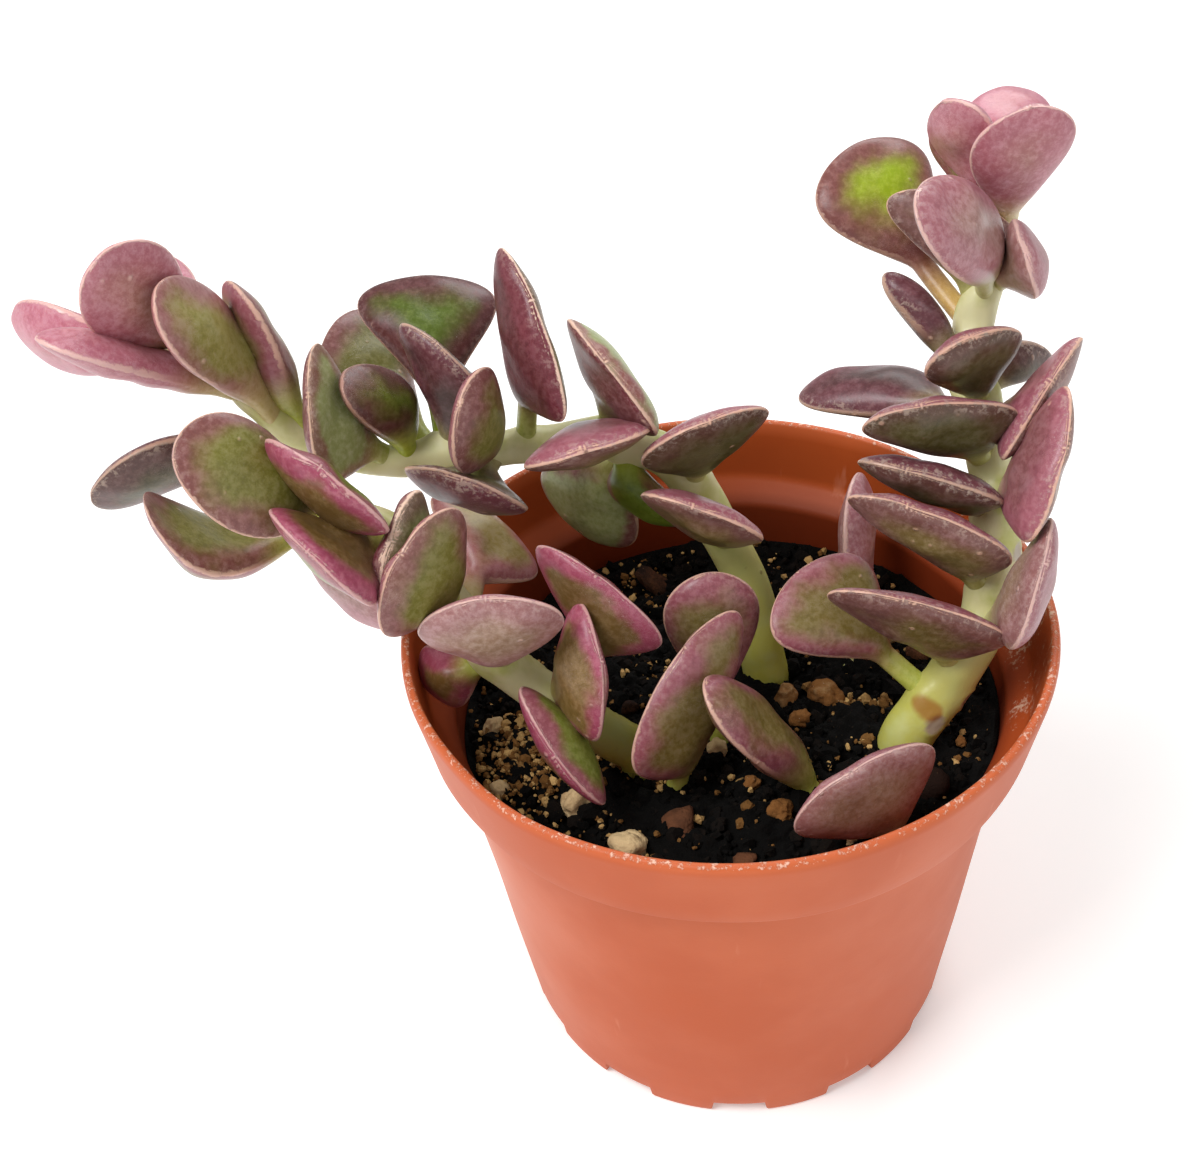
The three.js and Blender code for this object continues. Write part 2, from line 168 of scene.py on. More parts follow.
def pot_grid():
    """The rounded profile turned about the axis. The foot ring's lower points rise to the
    notch's height inside each notch, and the rim is drawn in a little on two sides, with
    shallow dents in the thin wall."""
    corners = [(0, FLOOR_UNDER_Z), (FOOT_INNER_RADIUS, FLOOR_UNDER_Z), (FOOT_INNER_RADIUS, 0),
               (FOOT_RADIUS, 0), (NECK_RADIUS, BAND_Z), (BAND_RADIUS, BAND_Z),
               (RIM_RADIUS, RIM_Z - 1.1), (RIM_RADIUS - 0.4, RIM_Z), (RIM_RADIUS - 1.5, RIM_Z),
               (BAND_RADIUS - 1.0, BAND_Z + 3.2), (wall_inside(BAND_Z) - 0.1, BAND_Z - 0.9),
               (wall_inside(FLOOR_TOP_Z), FLOOR_TOP_Z), (0, FLOOR_TOP_Z)]
    radii = [0.2, 0.3, 0.8, 0.4, 0.4, 0.9, 0.5, 0.6, 1.0, 0.8, 2.0]
    profile = finely(rounded(corners, radii), 3.0)
    around = np.linspace(0, 2 * np.pi, POT_COLUMNS, endpoint=False)
    radius = profile[:, :1] + 0 * around
    z = profile[:, 1:] + 0 * around
    turn = (around + np.pi / 2) * NOTCHES / (2 * np.pi)
    off_middle = np.abs(turn - np.round(turn)) * 2 * np.pi / NOTCHES * FOOT_RADIUS
    notch = NOTCH_HEIGHT * (1 - smooth_step(NOTCH_WIDTH / 2 - 0.5, NOTCH_WIDTH / 2, off_middle))
    z = np.where(radius > FOOT_INNER_RADIUS - 0.5, np.maximum(z, np.minimum(notch, 2.85)), z)
    height = np.clip(z / RIM_Z, 0, 1)
    squeeze = SQUEEZE * (1 + np.cos(2 * (around - SQUEEZE_TURN))) * height ** 2
    place = np.stack([np.cos(around) + 0 * z, np.sin(around) + 0 * z, z / MID_HEIGHT], -1)
    dents = DENT_DEPTH * ripple(place * MID_RADIUS, DENT_SIZE, 3) * smooth_step(0.05, 0.3, height)
    on_wall = radius > 30
    drawn_in = radius * (1 - squeeze) - SKIN_INSET + dents * on_wall
    radius = np.where(radius > 1, drawn_in, radius)
    return np.stack([radius * np.cos(around), radius * np.sin(around), z], -1)


def srgb(red, green, blue):
    """A display colour, 0 to 255, as the linear colour that a shader takes."""
    value = np.array([red, green, blue]) / 255
    linear = np.where(value < 0.04045, value / 12.92, ((value + 0.055) / 1.055) ** 2.4)
    return (*linear, 1.0)


def add(tree, kind, inputs=None, **settings):
    """A shader node with its settings made and its inputs linked or given a value."""
    node = tree.nodes.new(kind)
    for key, value in settings.items():
        setattr(node, key, value)
    for key, value in (inputs or {}).items():
        if isinstance(value, bpy.types.NodeSocket):
            tree.links.new(value, node.inputs[key])
        else:
            node.inputs[key].default_value = value
    return node


def mixed(tree, factor, first, second, blend="MIX"):
    """The first colour with the second laid over it by the factor."""
    node = add(tree, "ShaderNodeMix", {0: factor, 6: first, 7: second},
               data_type="RGBA", blend_type=blend)
    return node.outputs[2]


def masked(tree, value, low, high, out_low=0.0, out_high=1.0):
    """A soft mask: out_low where the value is at low, out_high where it is at high."""
    node = add(tree, "ShaderNodeMapRange", {0: value, 1: low, 2: high, 3: out_low, 4: out_high},
               interpolation_type="SMOOTHSTEP")
    return node.outputs[0]


def sums(tree, operation, first, second):
    """Two values put together by the named sum."""
    return add(tree, "ShaderNodeMath", {0: first, 1: second}, operation=operation).outputs[0]


def plus(tree, first, second):
    """The first value and the second added."""
    return sums(tree, "ADD", first, second)


def times(tree, first, second):
    """The first value multiplied by the second."""
    return sums(tree, "MULTIPLY", first, second)


def noise(tree, vector, scale, detail=3.0, roughness=0.55):
    """Cloudy noise, about 0.3 to 0.7, with scale features to the metre."""
    return add(tree, "ShaderNodeTexNoise", {"Vector": vector, "Scale": scale, "Detail": detail,
                                            "Roughness": roughness}).outputs[0]


def surface(name, colour, roughness, height, depth, **sockets):
    """Ends a material: a Principled shader with the colour, the roughness and a bump of the
    height, and with every number that is the same all over set on its own socket."""
    tree = colour.id_data
    shader = tree.nodes["Principled BSDF"]
    bump = add(tree, "ShaderNodeBump", {"Height": height, "Distance": depth, "Strength": 1.0})
    tree.links.new(colour, shader.inputs["Base Color"])
    tree.links.new(roughness, shader.inputs["Roughness"])
    tree.links.new(bump.outputs[0], shader.inputs["Normal"])
    for key, value in sockets.items():
        shader.inputs[key.replace("_", " ")].default_value = value
    return bpy.data.materials[name]


def new_material(name):
    """An empty Principled material, its node tree and the object coordinates in it."""
    material = bpy.data.materials.new(name)
    material.use_nodes = True
    tree = material.node_tree
    place = add(tree, "ShaderNodeTexCoord").outputs["Object"]
    return tree, place


def attribute(tree, name):
    """One of the piece's own named values, read at each spot of its surface."""
    return add(tree, "ShaderNodeAttribute", attribute_name=name).outputs["Fac"]


def moulded_plastic():
    """Satin terracotta plastic: a slightly uneven tint, painted shade inside the pot that
    deepens lower down, a painted highlight along the rim's top, fine moulding grain, pale
    flecks on the rim's edge that are partly rubbed scuffs and partly painted glints, and
    chalky marks on the wall."""
    tree, place = new_material("terracotta_plastic")
    clouds = noise(tree, place, 26, 4)
    grain = noise(tree, place, 1500, 2)
    flecks = noise(tree, place, 1300, 4, 0.7)
    upright = add(tree, "ShaderNodeMapping", {"Vector": place, "Scale": (1, 1, 0.14)}).outputs[0]
    streaks = noise(tree, upright, 170, 4, 0.65)
    inside = attribute(tree, "inside")
    rim = attribute(tree, "rim")
    chalk = attribute(tree, "chalk")
    colour = mixed(tree, masked(tree, clouds, 0.35, 0.65), srgb(197, 91, 40), srgb(188, 83, 34))
    # Painted shade: the pot's inside is mixed towards dark brown, most below the rim band.
    colour = mixed(tree, inside, colour, srgb(118, 44, 18))
    # Pale flecks on the rim's edge: partly scuffs, partly painted glints of light.
    scuffs_and_glints = masked(tree, times(tree, rim, flecks), 0.52, 0.62)
    # Painted highlight: the rim's top is lightened as if it caught the light.
    colour = mixed(tree, times(tree, rim, 0.5), colour, srgb(212, 112, 72))
    colour = mixed(tree, times(tree, scuffs_and_glints, 0.8), colour, srgb(250, 200, 176))
    powder = plus(tree, times(tree, streaks, 0.5), times(tree, flecks, 0.5))
    dust = masked(tree, times(tree, chalk, powder), 0.50, 0.60)
    colour = mixed(tree, times(tree, dust, 0.65), colour, srgb(226, 196, 170))
    rub = masked(tree, streaks, 0.66, 0.76)
    colour = mixed(tree, times(tree, rub, 0.18), colour, srgb(236, 168, 140))
    roughness = masked(tree, clouds, 0.3, 0.7, 0.40, 0.52)
    roughness = plus(tree, roughness, times(tree, dust, 0.3))
    height = plus(tree, times(tree, grain, 0.12),
                  times(tree, scuffs_and_glints, 0.6))
    return surface("terracotta_plastic", colour, roughness, height, 0.00012,
                   Subsurface_Weight=0.06, Subsurface_Radius=(0.004, 0.0015, 0.0008),
                   Specular_IOR_Level=0.3)


CHALK_TURN = 5          # degrees round the pot where the chalk marks are strongest
BAND_SLOPE = 0.14       # how much the inside of the rim band leans in, for its height

shape = pot_grid()
across = np.hypot(shape[..., 0], shape[..., 1])
height = shape[..., 2]
azimuth = np.degrees(np.arctan2(shape[..., 1], shape[..., 0]))
mid_wall = wall_inside(height) + 0.55
mid_band = RIM_RADIUS - 1.25 - BAND_SLOPE * (RIM_Z - height)
is_inside = (across < mid_wall) & (height > FLOOR_UNDER_Z + 0.6)
is_inside |= (height > BAND_Z - 0.5) & (across < mid_band)
chalky = smooth_step(60, 20, np.abs(azimuth - CHALK_TURN)) * smooth_step(64, 72, height)
pot = closed_skin("nursery_pot", shape, moulded_plastic(), {
    # inside: painted shade on the pot's inner wall and floor, deepest below the rim band.
    "inside": is_inside * (0.35 * smooth_step(RIM_Z, RIM_Z - 4, height)
                           + 0.65 * smooth_step(BAND_Z + 2, BAND_Z - 2, height)),
    # rim: the top of the rim, which gets a painted highlight and the pale flecks.
    "rim": smooth_step(RIM_Z - 1.5, RIM_Z - 0.2, height),
    "chalk": is_inside * chalky,
}, crease=38)
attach(pot, "root")
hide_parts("pot")

# ---- Soil -----------------------------------------------------------------------------
# A plug of moist black peat compost, filled loose and settled, so its top is crumbly and
# a little tilted. Lava grit, pumice and chips of bark were mixed in, and the grit has
# washed into a heap at the front left.

SOIL_Z, TILT_X, TILT_Y = 64.0, 0.03, -0.05
HEAP_X, HEAP_Y, HEAP_HEIGHT = -33.0, -13.0, 1.6
SOIL_RELIEF = [(0.55, 13, 5), (0.40, 4.2, 6), (0.26, 1.9, 7)]   # height, size and seed
SOIL_GAP = 0.5          # between the plug and the wall
SOIL_REACH = 43.5       # how far from the axis a loose grain lies
CRUMBS, LOOSE_GRIT, HEAP_GRIT, TUFTS, TUFT_GRIT = 2600, 520, 620, 34, 420


def soil_height(x, y):
    """Level of the soil: a tilted plane, with the heap of washed grit as a low mound."""
    heap = HEAP_HEIGHT * np.exp(-((x - HEAP_X) ** 2 / 60 + (y - HEAP_Y) ** 2 / 90))
    return SOIL_Z + TILT_X * x + TILT_Y * y + heap


def soil_grid(rows=150, columns=240):
    """The plug: a disc below, the pot's slope at the side, and above it the soil's level
    with clods, crumbs and grains as three sizes of relief."""
    around = np.linspace(0, 2 * np.pi, columns, endpoint=False)
    under = np.linspace(0, 1, 6)[:, None]
    side = np.linspace(0, 1, 8)[1:, None]
    top = np.sqrt(np.linspace(1, 0, rows))[1:, None]
    low = FLOOR_TOP_Z + 0.4
    share = np.concatenate([under, 1 + 0 * side, top])
    rise = np.concatenate([0 * under, side, 1 + 0 * top])
    edge = soil_height(44 * np.cos(around), 44 * np.sin(around))
    radius = share * (wall_inside(low + (edge - low) * rise) - SOIL_GAP)
    x, y = radius * np.cos(around), radius * np.sin(around)
    level = soil_height(x, y)
    flat = np.stack([x, y, 0 * x], -1)
    relief = sum(high * ripple(flat, size, seed) for high, size, seed in SOIL_RELIEF)
    relief += 0.20 * np.abs(ripple(flat, 1.2, 8))
    open_top = np.concatenate([0 * under, 0 * side, np.minimum(1, (1 - top) * 60)])
    z = low + (level + relief * open_top - low) * rise
    return np.stack([x, y, z], -1)


def grainy(name, dark, light, pale, spread):
    """Matt mineral or peat: two tints clouded by noise and by each grain's own shade, with
    pale specks and a deep crumbly bump."""
    tree, place = new_material(name)
    shade = attribute(tree, "shade")
    clouds = noise(tree, place, 260, 5, 0.7)
    specks = noise(tree, place, 1900, 3, 0.6)
    share = plus(tree, times(tree, shade, spread), clouds)
    colour = mixed(tree, masked(tree, share, 0.35, 0.95), srgb(*dark), srgb(*light))
    colour = mixed(tree, masked(tree, specks, 0.68, 0.76, 0, 0.6), colour, srgb(*pale))
    roughness = masked(tree, clouds, 0.3, 0.7, 0.85, 0.96)
    bump = plus(tree, times(tree, clouds, 0.7), times(tree, specks, 0.5))
    return surface(name, colour, roughness, bump, 0.0006, Specular_IOR_Level=0.15)


def scattered(name, places, sizes, stretch, material, seed, rows=5, columns=6, uneven=0.16):
    """Loose grains as one piece: a coarse ball of rows by columns, its radius roughened
    at random for each grain, stretched, turned by a random rotation and set on the soil."""
    random = np.random.default_rng(seed)
    count = len(places)
    tilt = np.linspace(0, np.pi, rows)[1:-1]
    turn = np.linspace(0, 2 * np.pi, columns, endpoint=False)
    ring = np.stack([np.sin(tilt)[:, None] * np.cos(turn), np.sin(tilt)[:, None] * np.sin(turn),
                     np.cos(tilt)[:, None] + 0 * turn], -1).reshape(-1, 3)
    ball = np.concatenate([[[0, 0, 1]], ring, [[0, 0, -1]]])
    bumps = 0.85 + 0.10 * ripple(ball + 7 * places[:, None], 1.6, seed)[..., None]
    bumps += 0.05 * ripple(ball + 9 * places[:, None], 0.6, seed + 1)[..., None]
    bumps = bumps + random.uniform(-uneven, uneven, bumps.shape)
    shapes = ball * bumps * random.uniform(stretch, 1, (count, 1, 3)) * sizes[:, None, None]
    turns = np.linalg.qr(random.normal(size=(count, 3, 3)))[0]
    turns[:, :, 0] *= np.sign(np.linalg.det(turns))[:, None]
    points = shapes @ turns + places[:, None]
    faces = closed_faces(rows - 2, columns)
    faces = [[corner + start for corner in face[::-1]]
             for start in range(0, count * len(ball), len(ball)) for face in faces]
    shade = np.repeat(random.uniform(-0.5, 0.5, count), len(ball))
    return mesh_piece(name, points.reshape(-1, 3), faces, material, {"shade": shade},
                      crease=25 if rows < 8 else None)


def on_soil(x, y, lift):
    """Points raised above the soil's level by lift."""
    return np.stack([x, y, soil_height(x, y) + lift], -1)


def random_spots(random, count, reach=43.0):
    """Spots spread evenly over a disc of the soil: the square root of an even number gives
    the distance from the axis."""
    distance = reach * np.sqrt(random.uniform(0, 1, count))
    around = random.uniform(0, 2 * np.pi, count)
    return distance * np.cos(around), distance * np.sin(around)


peat = grainy("moist_peat", (4, 3, 2), (24, 17, 12), (96, 74, 48), 0.5)
grit_finish = grainy("lava_grit", (118, 82, 42), (206, 168, 108), (236, 216, 172), 0.9)
pumice_finish = grainy("pumice", (132, 88, 46), (214, 186, 140), (244, 236, 212), 1.1)
bark_finish = grainy("pine_bark", (34, 20, 14), (104, 66, 44), (150, 116, 84), 0.7)

soil_shape = soil_grid()
soil = closed_skin("peat_plug", soil_shape, peat, {"shade": 0 * soil_shape[..., 0] - 0.25})
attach(soil, "root")
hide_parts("soil")

random = np.random.default_rng(11)
spots = random_spots(random, CRUMBS)
sizes = random.gamma(2.2, 0.30, CRUMBS) + 0.25
crumbs = scattered("peat_crumbs", on_soil(*spots, 0.25), sizes, 0.6, peat, 12)

# Grit lies singly, in the heap and in small tufts.
spots = random_spots(random, LOOSE_GRIT)
heap = random.normal(size=(2, HEAP_GRIT)) * [[4.4], [6.0]] + [[HEAP_X], [HEAP_Y]]
tufts = random_spots(random, TUFTS, 41)
tuft = random.integers(0, TUFTS, TUFT_GRIT)
loose = [tufts[k][tuft] + random.normal(size=TUFT_GRIT) * 1.3 for k in (0, 1)]
x, y = (np.concatenate([spots[k], heap[k], loose[k]]) for k in (0, 1))
kept = np.hypot(x, y) < SOIL_REACH
x, y = x[kept], y[kept]
in_heap = np.exp(-((x - HEAP_X) ** 2 + (y - HEAP_Y) ** 2) / 50)
lift = 0.55 + random.uniform(0, 0.9, x.size) * in_heap
sizes = random.gamma(2.0, 0.19, x.size) + 0.16
grit = scattered("lava_grit", on_soil(x, y, lift), sizes, 0.7, grit_finish, 13)

# Each stone's x, y and radius.
STONES = [(10, -1, 2.6), (16.5, -1, 2.9), (12, -6.3, 2.2), (-24, -23.5, 2.6), (8, -26.5, 2.4),
          (3.4, -20.4, 1.7), (-15.5, -33, 3.4), (-1.8, -12.5, 2.2), (-39, -5.5, 2.0),
          (-14, -16, 1.7), (-36.5, -20, 1.8), (28, 14, 2.2), (-22, 24, 2.4), (5, 33, 2.0),
          (37, -13, 1.1), (18, -33, 1.2), (22, -26, 1.0), (-28, 5, 1.6)]
stones = np.array(STONES)
pumice = scattered("pumice_stones", on_soil(stones[:, 0], stones[:, 1], 0.35 * stones[:, 2]),
                   stones[:, 2] * 1.15, 0.7, pumice_finish, 17, rows=22, columns=30, uneven=0.025)

# Each chip's x and y, from the longest chip to the shortest.
CHIPS = [(-12, 31), (-8, -28.5), (-30, -1), (14, 20), (31, -22), (-6, 12), (24, 31), (-25, -33),
         (-31, 21), (2, -36), (33, 8), (-16, -2), (40, 2), (12, -16)]
chips = np.array(CHIPS, float)
bark = scattered("bark_chips", on_soil(chips[:, 0], chips[:, 1], 0.7),
                 np.linspace(4.6, 2.6, len(chips)), 0.22, bark_finish, 19, rows=9, columns=12,
                 uneven=0.07)
for loose_piece in (crumbs, grit, pumice, bark):
    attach(loose_piece, "root")

# ---- Stems ----------------------------------------------------------------------------
# Three fleshy stems grown from the soil, first up and then over the rim. Each is round
# and smooth, pale yellow-green, swollen where a leaf sits and marked with the oval scars
# of leaves that fell.

STEMS = {
    "right": dict(radii=(4.2, 3.8, 3.7, 3.6, 3.4, 3.2, 2.8, 2.2, 1.6), beside=(1, 0, 0), points=[
        (28, -13, 66.6), (29, -12.5, 69), (32, -11, 72.5), (35, -9, 76), (39, -6, 82),
        (41, -3, 87), (42, 0, 93), (42, 4, 98), (42, 8, 102), (41, 12, 107), (40, 16, 111),
        (39, 20, 115), (40, 24, 118), (42, 28, 123), (44, 32, 127), (46, 37, 134)]),
    "back": dict(radii=(3.9, 3.6, 3.5, 3.4, 3.3, 3.0, 2.7, 2.5, 2.3, 2.1, 1.8, 1.6),
                 beside=(0, 1, 0), points=[
        (7, 6, 64.3), (6.5, 6.5, 67.5), (6, 7, 71), (5, 9, 78), (3, 11, 84), (0, 13, 90),
        (-3, 15, 96), (-7, 16, 102), (-12, 17, 105), (-18, 17, 107), (-25, 16, 107),
        (-31, 15, 107), (-38, 14, 107), (-44, 13, 107), (-50, 12, 107), (-56, 11, 109),
        (-62, 10, 112), (-66, 10, 116), (-69, 10, 120), (-72, 10, 125), (-77, 10, 130)]),
    "left": dict(radii=(3.7, 3.6, 3.5, 3.3, 3.1, 2.8, 2.3, 1.7), beside=(0, 1, 0), points=[
        (-14, -14, 65.4), (-15, -14, 67.5), (-18, -14, 70), (-23, -13, 74), (-28, -12, 78),
        (-33, -11, 83), (-38, -10, 89), (-41, -9, 96), (-44, -8, 103), (-48, -7, 109),
        (-53, -6, 111), (-57, -5, 111)]),
}
ROOT_DEPTH = 5.0
MEAN_RADIUS = 3.5
TIP_LENGTH = 1.6                        # over which the tip rounds off
SWELLING_HEIGHT, SWELLING_LENGTH = 0.75, 3.0
SCAR_HALF_LENGTH, SCAR_HALF_WIDTH, SCAR_LIP, SCAR_DIP = 1.7, 1.3, 0.22, 0.12
STAIN_AT, STAIN_LENGTH = 0.085, 0.028   # shares of the right stem's length
STAIN_WAY = np.array([-0.6, -0.8, 0.1])

# Each scar's share of its stem's length and its turn round the stem in degrees.
SCARS = {"right": [(0.07, 200), (0.13, 250), (0.30, 330), (0.38, 235), (0.52, 350), (0.70, 260)],
         "back": [(0.12, 230), (0.26, 300), (0.37, 250), (0.50, 300), (0.61, 240), (0.75, 280)],
         "left": [(0.10, 250), (0.17, 300), (0.36, 240), (0.50, 310), (0.70, 250)]}

# Where each leaf sits and how it is turned, since a stem swells under its leaves. "at" is
# the share of the stem's length, "foot" the place of a leaf that leaves the soil by itself,
# "across" runs from corner to corner of the fan, "stalk" and "widest" are shares of the
# leaf's length, "bend" is how far it bows, and "turned" puts its upper face underneath.
STALK_SQUARENESS = 0.85
STALK_BURIED = 1.6
LEAVES = {
    "right_leaf_01": dict(foot=(26, -29, 66.6), apex=(17, -36, 86), across=(20, 9, 7),
        finish="lilac"),
    "right_leaf_02": dict(stem="right", at=0.1, apex=(11, -1, 92), across=(14, 15, 3),
        stalk=0.3, finish="olive"),
    "right_leaf_03": dict(stem="right", at=0.17, apex=(26, -15, 99), across=(22, -3, -6),
        finish="fan"),
    "right_leaf_04": dict(stem="right", at=0.32, apex=(27, -6, 109), across=(17, -4, -7),
        finish="fan"),
    "right_leaf_05": dict(stem="right", at=0.45, apex=(27, -3, 113), across=(15, -2, -5),
        finish="dark"),
    "right_leaf_06": dict(foot=(21, 5, 66.6), apex=(24, 31, 87), across=(5, 12, -8), stalk=0.3,
        finish="lilac"),
    "right_leaf_07": dict(stem="right", at=0.54, apex=(29, 0, 122), across=(19, 2, 0),
        finish="shaded_fan"),
    "right_leaf_08": dict(stem="right", at=0.61, apex=(18, 32, 106), across=(15, 3, 2),
        finish="dark"),
    "right_leaf_09": dict(stem="right", at=0.64, apex=(36, 5, 130), across=(14, 4, 3),
        finish="shaded_fan"),
    "right_leaf_10": dict(stem="right", at=0.6, apex=(48, 5, 122), across=(11, 11, 11),
        bend=-2, finish="fan"),
    "right_leaf_11": dict(stem="right", at=0.46, apex=(48, -7, 119), across=(5, 14, 15),
        finish="fan"),
    "right_leaf_12": dict(stem="right", at=0.25, apex=(45, -15, 105), across=(5, 11, 12),
        bend=-1, finish="lilac"),
    "right_leaf_13": dict(stem="right", at=0.78, apex=(23, 48, 139), across=(18, 13, 2),
        stalk=0.35, bend=2, finish="glow"),
    "right_leaf_14": dict(stem="right", at=0.81, apex=(35, 33, 138), across=(16, -3, -5),
        finish="fan"),
    "right_leaf_15": dict(stem="right", at=0.83, apex=(28, 11, 150), across=(7, 16, -3),
        widest=0.6, bend=-3, finish="lilac"),
    "right_leaf_16": dict(stem="right", at=0.85, apex=(44, 15, 137), across=(3, -7, -9),
        bend=2, finish="lilac"),
    "right_leaf_17": dict(stem="right", at=0.95, apex=(45, 25, 154), across=(15, 2, 1),
        widest=0.66, finish="young"),
    "right_leaf_18": dict(stem="right", at=0.97, apex=(34, 33, 152), across=(6, -9, 7),
        finish="young"),
    "right_leaf_19": dict(stem="right", at=1.0, apex=(49, 61, 141), across=(14, 1, -1),
        finish="young"),
    "back_leaf_01": dict(stem="back", at=0.31, apex=(-1, 3, 119), across=(19, 5, 4), finish="shaded_fan"),
    "back_leaf_02": dict(stem="back", at=0.21, apex=(-4, -2, 107), across=(17, -3, -6),
        finish="fan"),
    "back_leaf_03": dict(foot=(-1, -10, 66.6), apex=(-2, -3, 95), across=(15, 2, 0), stalk=0.3,
        finish="olive"),
    "back_leaf_04": dict(stem="back", at=0.54, apex=(-26, 14, 134), across=(7, -14, -16),
        stalk=0.3, finish="maroon"),
    "back_leaf_05": dict(stem="back", at=0.44, apex=(-16, 7, 127), across=(12, -10, -13),
        bend=2, turned=True, finish="backed"),
    "back_leaf_06": dict(stem="back", at=0.46, apex=(-19, -1, 117), across=(19, 4, 3),
        finish="fan"),
    "back_leaf_07": dict(stem="back", at=0.4, apex=(-25, 23, 84), across=(15, -8, -10),
        finish="pale"),
    "back_leaf_08": dict(stem="back", at=0.64, apex=(-46, 35, 127), across=(22, 1, -1),
        widest=0.78, bend=-3, finish="lime"),
    "back_leaf_09": dict(stem="back", at=0.65, apex=(-61, 33, 121), across=(8, 18, 1), bend=3,
        finish="olive"),
    "back_leaf_10": dict(stem="back", at=0.69, apex=(-54, 11, 126), across=(5, 12, -5),
        widest=0.62, bend=-2, finish="lime"),
    "back_leaf_11": dict(stem="back", at=0.64, apex=(-41, 13, 128), across=(12, -7, -9),
        bend=2, finish="dark"),
    "back_leaf_12": dict(stem="back", at=0.59, apex=(-37, 1, 125), across=(5, 10, 11), bend=-2,
        finish="olive"),
    "back_leaf_13": dict(stem="back", at=0.58, apex=(-37, -4, 116), across=(18, -3, -6),
        bend=-4, finish="dark"),
    "back_leaf_14": dict(stem="back", at=0.71, apex=(-59, 3, 127), across=(0, 12, 14), bend=2,
        finish="silver"),
    "back_leaf_15": dict(stem="back", at=0.83, apex=(-71, 15, 139), across=(6, -11, 10),
        widest=0.6, bend=1, finish="olive"),
    "back_leaf_16": dict(stem="back", at=0.87, apex=(-75, 2, 147), across=(3, 14, -2),
        widest=0.62, finish="blushed"),
    "back_leaf_17": dict(stem="back", at=1.0, apex=(-81, -2, 153), across=(11, 8, 7),
        widest=0.58, bend=1, finish="young"),
    "back_leaf_18": dict(stem="back", at=1.0, apex=(-96, 30, 134), across=(13, 10, 9),
        widest=0.58, bend=3, finish="young"),
    "back_leaf_19": dict(stem="back", at=1.0, apex=(-105, 16, 135), across=(-5, 4, -12),
        widest=0.66, bend=3, finish="young"),
    "back_leaf_20": dict(stem="back", at=0.92, apex=(-93, -3, 142), across=(-4, 13, -6),
        widest=0.62, finish="young"),
    "back_leaf_21": dict(stem="back", at=0.86, apex=(-94, -2, 114), across=(8, -3, 12),
        widest=0.7, finish="dark"),
    "left_leaf_01": dict(stem="left", at=1.0, apex=(-72, -19, 132), across=(-1, 11, 12),
        widest=0.62, bend=-3, finish="olive"),
    "left_leaf_02": dict(stem="left", at=1.0, apex=(-79, -17, 124), across=(-6, 16, -2),
        widest=0.66, bend=7, finish="olive"),
    "left_leaf_03": dict(stem="left", at=0.94, apex=(-53, -18, 129), across=(16, -7, -10),
        bend=-1, finish="magenta"),
    "left_leaf_04": dict(stem="left", at=0.85, apex=(-55, -26, 121), across=(-13, 8, 11),
        bend=3, finish="magenta"),
    "left_leaf_05": dict(stem="left", at=0.8, apex=(-61, -2, 91), across=(-13, 8, 11),
        finish="lilac"),
    "left_leaf_06": dict(stem="left", at=0.82, apex=(-46, -18, 116), across=(5, 10, 11),
        bend=-2, finish="maroon"),
    "left_leaf_07": dict(stem="left", at=0.64, apex=(-44, -21, 116), across=(11, 12, 12),
        bend=-2, finish="olive"),
    "left_leaf_08": dict(stem="left", at=0.57, apex=(-38, 15, 93), across=(16, -7, -10),
        stalk=0.35, finish="blushed"),
    "left_leaf_09": dict(stem="left", at=0.44, apex=(-33, -22, 108), across=(21, 2, 0),
        bend=-2, finish="lilac"),
    "left_leaf_10": dict(stem="left", at=0.45, apex=(-48, -7, 77), across=(-5, 6, 8),
        finish="magenta"),
    "left_leaf_11": dict(stem="left", at=0.21, apex=(-18, -13, 104), across=(17, -8, -11),
        stalk=0.35, bend=3, finish="magenta"),
    "left_leaf_12": dict(stem="left", at=0.28, apex=(-18, -21, 94), across=(-2, 13, 15),
        finish="magenta"),
    "left_leaf_13": dict(stem="left", at=0.2, apex=(-25, -29, 83), across=(-12, 11, 14),
        finish="magenta"),
    "left_leaf_14": dict(foot=(-9, -20, 66.6), apex=(-6, -15, 91), across=(12, 12, 13),
        stalk=0.2, bend=-2, finish="olive"),
    "left_leaf_15": dict(foot=(15, -22, 66.6), apex=(-3, -20, 89), across=(4, 13, -6),
        widest=0.6, finish="olive"),
}

# Small leaves that half hide behind the others.
SMALL_LEAVES = {
    "right_leaf_shaded": dict(stem="right", at=0.70, apex=(27, 29, 127), across=(5, 2, -1),
        finish="dark"),
    "right_leaf_hidden": dict(stem="right", at=0.66, apex=(50, 22, 117), across=(8, 5, -6),
        finish="dark"),
    "right_leaf_sliver": dict(stem="right", at=0.96, apex=(34, 37, 147), across=(5, -3, 4),
        finish="magenta"),
    "back_leaf_round": dict(stem="back", at=0.42, apex=(-10, 13, 92), across=(9, -3, -4),
        finish="green"),
}


def unit(vectors):
    """Vectors at length 1."""
    return vectors / np.linalg.norm(vectors, axis=-1, keepdims=True)


